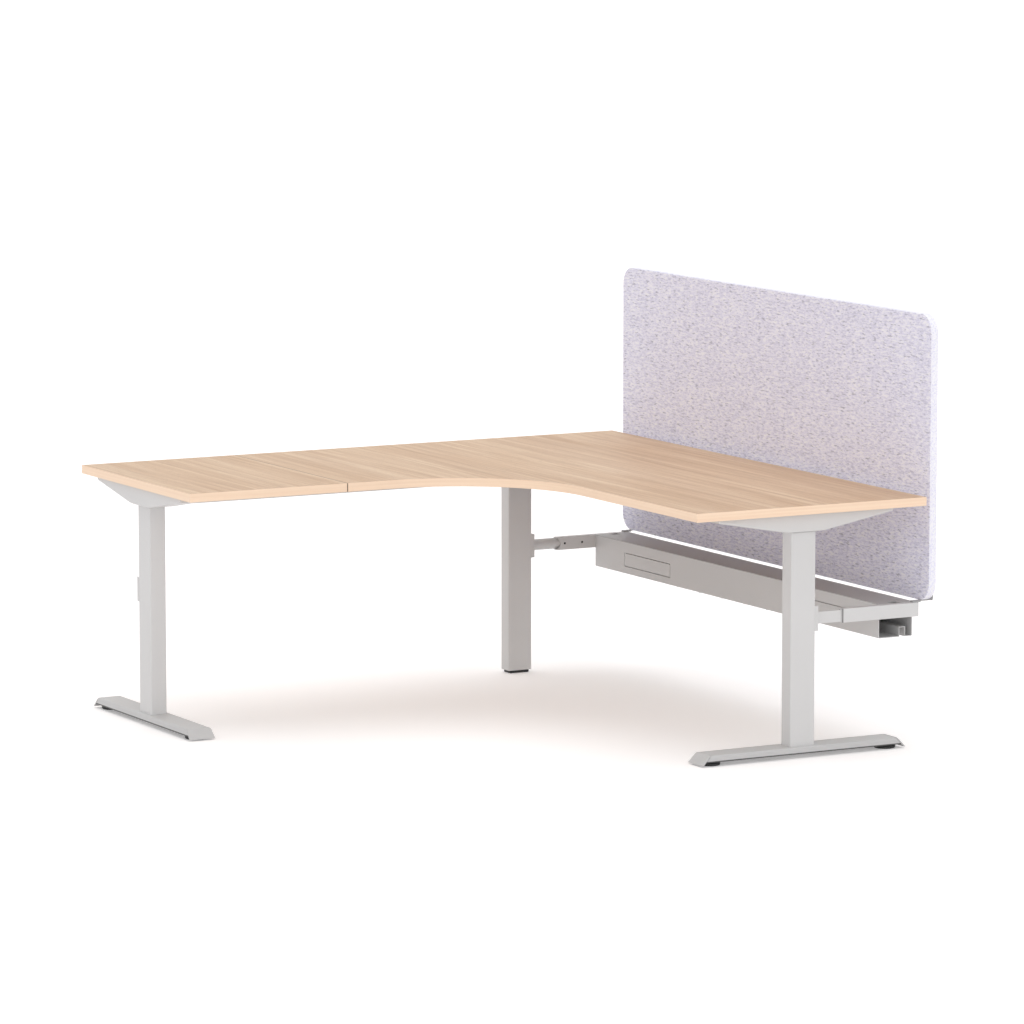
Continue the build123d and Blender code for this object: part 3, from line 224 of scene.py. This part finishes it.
def powder_coat(name, tone, mouth_shade=None, gap_shade_top=None, inside_shade=None):
    """Fine-textured powder coat: a slight orange peel, faint cloudiness and a satin sheen.

    Three options paint shade. The first is the place along Y and the half width of a dark line on
    the side that faces outwards in X: painted shade where a sleeve's mouth meets its inner member.
    The second is the height below which a wall's lower edge is dark: a painted shadow line under a
    foot. The third is the lowest and highest Y between which all but the underside is dimmer:
    painted shade inside the tray."""
    s = Shader(name)
    dark, light = (scaled(shade, tone) for shade in COAT_SHADES)
    dim = scaled(WHITE, tone * 0.8)
    cloud = s.noise(s.place, scale=3.0, detail=3.0)
    peel = s.noise(s.place, scale=900.0, rough=0.6)
    colour = s.mix(s.grey(cloud, start=0.3, end=0.7), dark, light)
    colour = s.mix(s.grey(peel, high=0.12), colour, dim)
    # Painted shade: a dark line on the outward side at the sleeve's mouth, standing in for the
    # shadow gap there
    if mouth_shade:
        outwards = s.math("MULTIPLY", s.facing("X"), s.part(s.place, "X"))
        mouth_gap_shade = s.math("MULTIPLY", s.near("Y", *mouth_shade), s.grey(outwards, start=0.3, end=0.5))
        colour = s.mix(mouth_gap_shade, colour, MOUTH_SHADE_TONE)
    # Painted shade: the wall's lowest edge is dark, a shadow line along the gap under the foot
    if gap_shade_top:
        lower = s.grey(s.part(s.place, "Z"), low=0.95, high=0.0, start=gap_shade_top, end=gap_shade_top + GAP_SHADE_FADE)
        colour = s.mix(lower, colour, GAP_SHADE_TONE)
    # Painted shade: all but the underside inside the tray is dimmer, standing in for the shade under
    # the lid
    if inside_shade:
        lowest, highest = inside_shade
        along = s.part(s.place, "Y")
        past_lowest = s.math("GREATER_THAN", along, lowest)
        inside = s.math("MULTIPLY", past_lowest, s.math("LESS_THAN", along, highest))
        upper = s.grey(s.facing("Z"), start=-0.9, end=-0.7)
        colour = s.mix(s.math("MULTIPLY", inside, upper), colour, dim)
    rough = s.grey(peel, low=0.38, high=0.56)
    return s.finish(colour, peel, strength=0.18, depth=0.0004, roughness=rough)


def oak_figure(s, tones):
    """Light oak decor along X: streaks, wide figure, thin lines and short pores.

    Gives colour and relief."""
    dark, middle, _ = tones
    streak = s.noise(s.stretched((1.1, 42.0, 42.0)), detail=6.0, rough=0.62, distortion=0.6)
    moved = s.stretched((0.6, 9.0, 9.0), shift=(3.1, 1.7, 0.0))
    wide = s.noise(moved, detail=4.0, rough=0.55, distortion=1.2)
    figure = s.total((streak, 0.62), (wide, 0.38))
    colour = s.ramp(figure, (0.37, 0.5, 0.63), tones)
    line = s.noise(s.stretched((2.2, 210.0, 210.0)))
    lines = s.grey(line, high=0.35, start=0.52, end=0.72)
    colour = s.mix(lines, colour, scaled(middle, 0.72))
    pore = s.noise(s.stretched((26.0, 900.0, 900.0)), detail=1.0, rough=0.4)
    pores = s.grey(pore, start=0.63, end=0.7)
    colour = s.mix(s.math("MULTIPLY", pores, 0.5), colour, scaled(dark, 0.55))
    return colour, s.math("SUBTRACT", s.math("MULTIPLY", figure, 0.4), pores)


def oak(name, tones):
    s = Shader(name)
    colour, relief = oak_figure(s, tones)
    warp = s.noise(s.stretched((1.3, 6.0, 6.0)), detail=3.0)
    rough = s.grey(warp, low=0.42, high=0.56)
    return s.finish(colour, relief, strength=0.12, depth=0.0004, roughness=rough)


def edge_band(name, tones, top_tones, seam):
    """Smooth banding with faint lines along it.

    It has the board's figure on top and a dark joint at the seam."""
    s = Shader(name)
    line = s.noise(s.stretched((2.5, 2.5, 190.0)), detail=3.0, rough=0.55)
    side = s.ramp(line, (0.35, 0.5, 0.65), tones)
    top, _ = oak_figure(s, top_tones)
    colour = s.mix(s.grey(s.facing("Z"), start=0.5, end=0.9), side, top)
    joint = s.math("MULTIPLY", s.near("Y", seam, SEAM_REACH), 0.8)
    colour = s.mix(joint, colour, SEAM_TONE)
    fine = s.noise(s.place, scale=700.0)
    rough = s.grey(line, low=0.40, high=0.50)
    return s.finish(colour, fine, strength=0.08, depth=0.0002, roughness=rough)


def felt(name, tones, edge_light):
    """Pressed felt: clumps of three shades along the panel, dark flecks, fibres and a soft nap.

    The edge faces, which don't face along Y, are lighter: painted light on the edges."""
    s = Shader(name, roughness=0.95)
    dark, middle, light = tones
    fibre = s.noise(s.place, scale=620.0, detail=4.0, rough=0.7, distortion=1.5)
    clump = s.noise(s.stretched((55.0, 200.0, 200.0)), detail=4.0, rough=0.72, distortion=0.4)
    cloud = s.noise(s.place, scale=16.0, detail=3.0)
    mottle = s.total((fibre, 0.22), (clump, 0.71), (cloud, 0.07))
    colour = s.ramp(mottle, (0.40, 0.49, 0.58), tones)
    moved = s.stretched((36.0, 200.0, 200.0), shift=(0.7, 0.3, 0.9))
    fleck = s.noise(moved, detail=3.0, rough=0.6)
    colour = s.mix(s.grey(fleck, start=0.565, end=0.67), colour, scaled(dark, 0.72))
    # Painted light: faces that don't face along Y get lighter tones
    painted_edge_light = s.ramp(mottle, (0.41, 0.5, 0.59), (middle, light, edge_light))
    across = s.math("ABSOLUTE", s.facing("Y"))
    colour = s.mix(s.grey(across, low=0.85, high=0.0, start=0.4, end=0.85), colour, painted_edge_light)
    s.feed(s.surface["Sheen Weight"], 0.25)
    s.feed(s.surface["Sheen Roughness"], 0.6)
    return s.finish(colour, mottle, strength=0.35, depth=0.0012)


def plastic(name, colour, roughness, grain=1400.0, depth=0.0001):
    """Moulded plastic with a fine spark-eroded grain."""
    s = Shader(name)
    fine = s.noise(s.place, scale=grain)
    cloud = s.noise(s.place, scale=22.0)
    shade = s.mix(s.grey(cloud, start=0.35, end=0.65), scaled(colour, 0.92), scaled(colour, 1.08))
    rough = s.grey(fine, low=roughness - 0.06, high=roughness + 0.08)
    return s.finish(shade, fine, strength=0.25, depth=depth, roughness=rough)


def metal(name, colour, roughness):
    """Plated or machined metal with fine tool marks."""
    s = Shader(name, roughness, metallic=1.0)
    marks = s.noise(s.stretched((60.0, 60.0, 1400.0)), detail=3.0, rough=0.6)
    cloud = s.noise(s.place, scale=40.0)
    shade = s.mix(s.grey(cloud, start=0.3, end=0.7), scaled(colour, 0.9), colour)
    rough = s.grey(marks, low=roughness - 0.08, high=roughness + 0.1)
    return s.finish(shade, marks, strength=0.1, depth=0.0002, roughness=rough)


SEAM = (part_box("tabletop_main")[LOW].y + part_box("tabletop_return")[HIGH].y) / 2
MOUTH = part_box("arm_sleeve_right")[LOW].y
# Painted shade: half width of the dark line at the sleeves' mouths
MOUTH_SHADE_REACH = 0.0032
# Painted shade: the height of the dark line under the feet's walls
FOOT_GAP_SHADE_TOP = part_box("foot_left")[LOW].z + 0.0032
TRAY_WALL = 0.0022
TRAY_INSIDE = (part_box("cable_tray")[LOW].y + TRAY_WALL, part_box("cable_tray")[HIGH].y - TRAY_WALL)

MATERIALS = {
    "frame_coat": powder_coat("frame_coat", 0.70),
    "tray_coat": powder_coat("tray_coat", 0.68),
    "worktop": oak("worktop", OAK_TONES),
    "edge_band": edge_band("edge_band", BAND_TONES, OAK_TONES, SEAM),
    "felt": felt("felt", FELT_TONES, FELT_EDGE_LIGHT),
    "glide_black": plastic("glide_black", (0.018, 0.018, 0.019), 0.5),
    "zinc": metal("zinc", (0.66, 0.67, 0.68), 0.32),
    "nylon": plastic("nylon", (0.62, 0.62, 0.61), 0.45),
    "bronze": metal("bronze", (0.72, 0.50, 0.22), 0.35),
    "motor_black": plastic("motor_black", (0.03, 0.03, 0.032), 0.55, grain=900.0, depth=0.0003),
    "cap_grey": plastic("cap_grey", (0.60, 0.60, 0.60), 0.5),
    "screw_dark": metal("screw_dark", (0.05, 0.05, 0.052), 0.4),
}

# The feet and their end caps are a darker copy of the frame coat, painted shade; the feet also carry
# the painted shadow line under their walls
FOOT_SHADE_COAT = powder_coat("foot_coat_painted_shade", 0.60, gap_shade_top=FOOT_GAP_SHADE_TOP)
# The screen brackets are a much darker copy of the frame coat: painted shade
BRACKET_SHADE_COAT = powder_coat("bracket_coat_painted_shade", 0.40)
# The sleeves carry the painted shadow line at their mouths
SLEEVE_MOUTH_SHADE_COAT = powder_coat("sleeve_coat_mouth_shade", 0.70, mouth_shade=(MOUTH, MOUTH_SHADE_REACH))

# Nodes whose finish is a little different from their slot's: darker copies of the coat, or coats
# with masks, that paint shade
OWN_FINISH = {
    # The lid is a darker copy of the tray coat: painted shade under the desk
    "tray_lid": powder_coat("lid_coat_painted_shade", 0.52),
    "foot_left": FOOT_SHADE_COAT,
    "foot_right": FOOT_SHADE_COAT,
    # The end caps' darker coat is painted shade
    "foot_end_caps": powder_coat("toe_coat_painted_shade", 0.60),
    # The tray's inside is dimmer: painted shade
    "cable_tray": powder_coat("tray_inside_painted_shade", 0.68, inside_shade=TRAY_INSIDE),
    "screen_bracket_left": BRACKET_SHADE_COAT,
    "screen_bracket_right": BRACKET_SHADE_COAT,
    "arm_sleeve_left": SLEEVE_MOUTH_SHADE_COAT,
    "arm_sleeve_right": SLEEVE_MOUTH_SHADE_COAT,
}
SLOT_OF = {part["node"]: part["material_slot"] for part in frame["record"]["subparts"]}


def dress_nodes():
    for name, node in NODES.items():
        node.data.materials.clear()
        node.data.materials.append(OWN_FINISH.get(name, MATERIALS[SLOT_OF[name]]))


# Pieces without CAD of their own
LIP_DEPTH = 0.0113
LIP_BEVEL = 0.0006
LIP_GAP = 0.0002
BEVEL_STEPS = 3


def upright_bar(name, outline, low, high, slot):
    """A bar from low to high with slightly rounded edges. Its section is the outline in X and Y."""
    count = len(outline)
    corners = [(x, y, z) for z in (low, high) for x, y in outline]
    faces = [tuple(range(count)), tuple(range(count, 2 * count))]
    faces += [(k, (k + 1) % count, (k + 1) % count + count, k + count) for k in range(count)]
    mesh = bpy.data.meshes.new(name)
    mesh.from_pydata(corners, [], faces)
    shape = bmesh.new()
    shape.from_mesh(mesh)
    bmesh.ops.recalc_face_normals(shape, faces=shape.faces)
    bmesh.ops.bevel(
        shape,
        geom=shape.edges[:],
        offset=LIP_BEVEL,
        segments=BEVEL_STEPS,
        affect="EDGES",
        profile=0.5,
    )
    shape.to_mesh(mesh)
    shape.free()
    mesh.materials.append(MATERIALS[slot])
    piece = bpy.data.objects.new(name, mesh)
    bpy.context.scene.collection.objects.link(piece)
    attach(piece, "frame")


def make_plate_lips():
    """Folded sides of the spare plate on the left column.

    The nearer one shows past the column in the photo."""
    plate_low, plate_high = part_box("leg_plate_left")
    column_low, column_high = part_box("outer_column_left")
    back = column_low.x - LIP_GAP
    front = column_low.x - LIP_DEPTH
    sides = {
        "near": (column_low.y + LIP_GAP, plate_low.y - LIP_GAP),
        "far": (plate_high.y + LIP_GAP, column_high.y - LIP_GAP),
    }
    for side, (first, last) in sides.items():
        outline = [(front, first), (back, first), (back, last), (front, last)]
        upright_bar(f"leg_plate_lip_{side}", outline, plate_low.z, plate_high.z, "frame_coat")


# Stage and light
FLOOR_REACH = 60.0
FLOOR_PLACE = -0.0004
FLOOR_COLOUR = (0.93, 0.905, 0.90)
FLOOR_GLOW = 0.26
SIDE_LIGHT = 0.92
TOP_LIGHT = 0.62


def make_stage():
    """A pale floor that catches the shadows and looks almost white in the picture."""
    mesh = bpy.data.meshes.new("floor")
    signs = ((-1, -1), (1, -1), (1, 1), (-1, 1))
    corners = [(x * FLOOR_REACH, y * FLOOR_REACH, 0.0) for x, y in signs]
    mesh.from_pydata(corners, [], [(0, 1, 2, 3)])
    floor = bpy.data.objects.new("floor", mesh)
    floor.location.z = FLOOR_PLACE
    bpy.context.scene.collection.objects.link(floor)
    material = bpy.data.materials.new("floor")
    material.use_nodes = True
    material.node_tree.nodes.clear()
    s = Nodes(material.node_tree)
    shows = s.seen("Is Camera Ray", "Is Glossy Ray")
    glow = s.add("ShaderNodeEmission", Color=WHITE, Strength=s.math("MULTIPLY", shows, FLOOR_GLOW))
    diffuse = s.add("ShaderNodeBsdfDiffuse", Color=FLOOR_COLOUR)
    both = s.add("ShaderNodeAddShader")
    s.feed(both.inputs[0], diffuse.outputs["BSDF"])
    s.feed(both.inputs[1], glow.outputs["Emission"])
    s.add("ShaderNodeOutputMaterial", Surface=both.outputs["Shader"])
    mesh.materials.append(material)


def make_world():
    """A white backdrop that lights the object a little more from the sides than from above."""
    world = bpy.data.worlds.new("studio")
    bpy.context.scene.world = world
    world.use_nodes = True
    world.node_tree.nodes.clear()
    s = Nodes(world.node_tree)
    height = s.part(s.add("ShaderNodeTexCoord").outputs["Generated"], "Z")
    light = s.grey(height, low=SIDE_LIGHT, high=TOP_LIGHT)
    shows = s.seen("Is Camera Ray", "Is Glossy Ray", "Is Transmission Ray")
    background = s.add("ShaderNodeBackground", Color=WHITE, Strength=s.grey(shows, low=light))
    s.add("ShaderNodeOutputWorld", Surface=background.outputs["Background"])


def soft_sun(name, towards, spread, strength):
    """A far, even light that shines along a direction, from a disk of the sky.

    The spread is the disk's width in degrees."""
    data = bpy.data.lights.new(name, "SUN")
    data.angle = math.radians(spread)
    data.energy = strength
    light = bpy.data.objects.new(name, data)
    bpy.context.scene.collection.objects.link(light)
    light.rotation_mode = "QUATERNION"
    light.rotation_quaternion = Vector(towards).to_track_quat("-Z", "Y")


def make_lights():
    soft_sun("overhead", (0.10, 0.01, -1.0), spread=56.0, strength=0.88)
    soft_sun("front", (-0.93, 0.24, -0.25), spread=60.0, strength=0.42)


make_camera()
dress_nodes()
make_plate_lips()
make_stage()
make_world()
make_lights()

scene = bpy.context.scene
scene.view_settings.view_transform = "Standard"
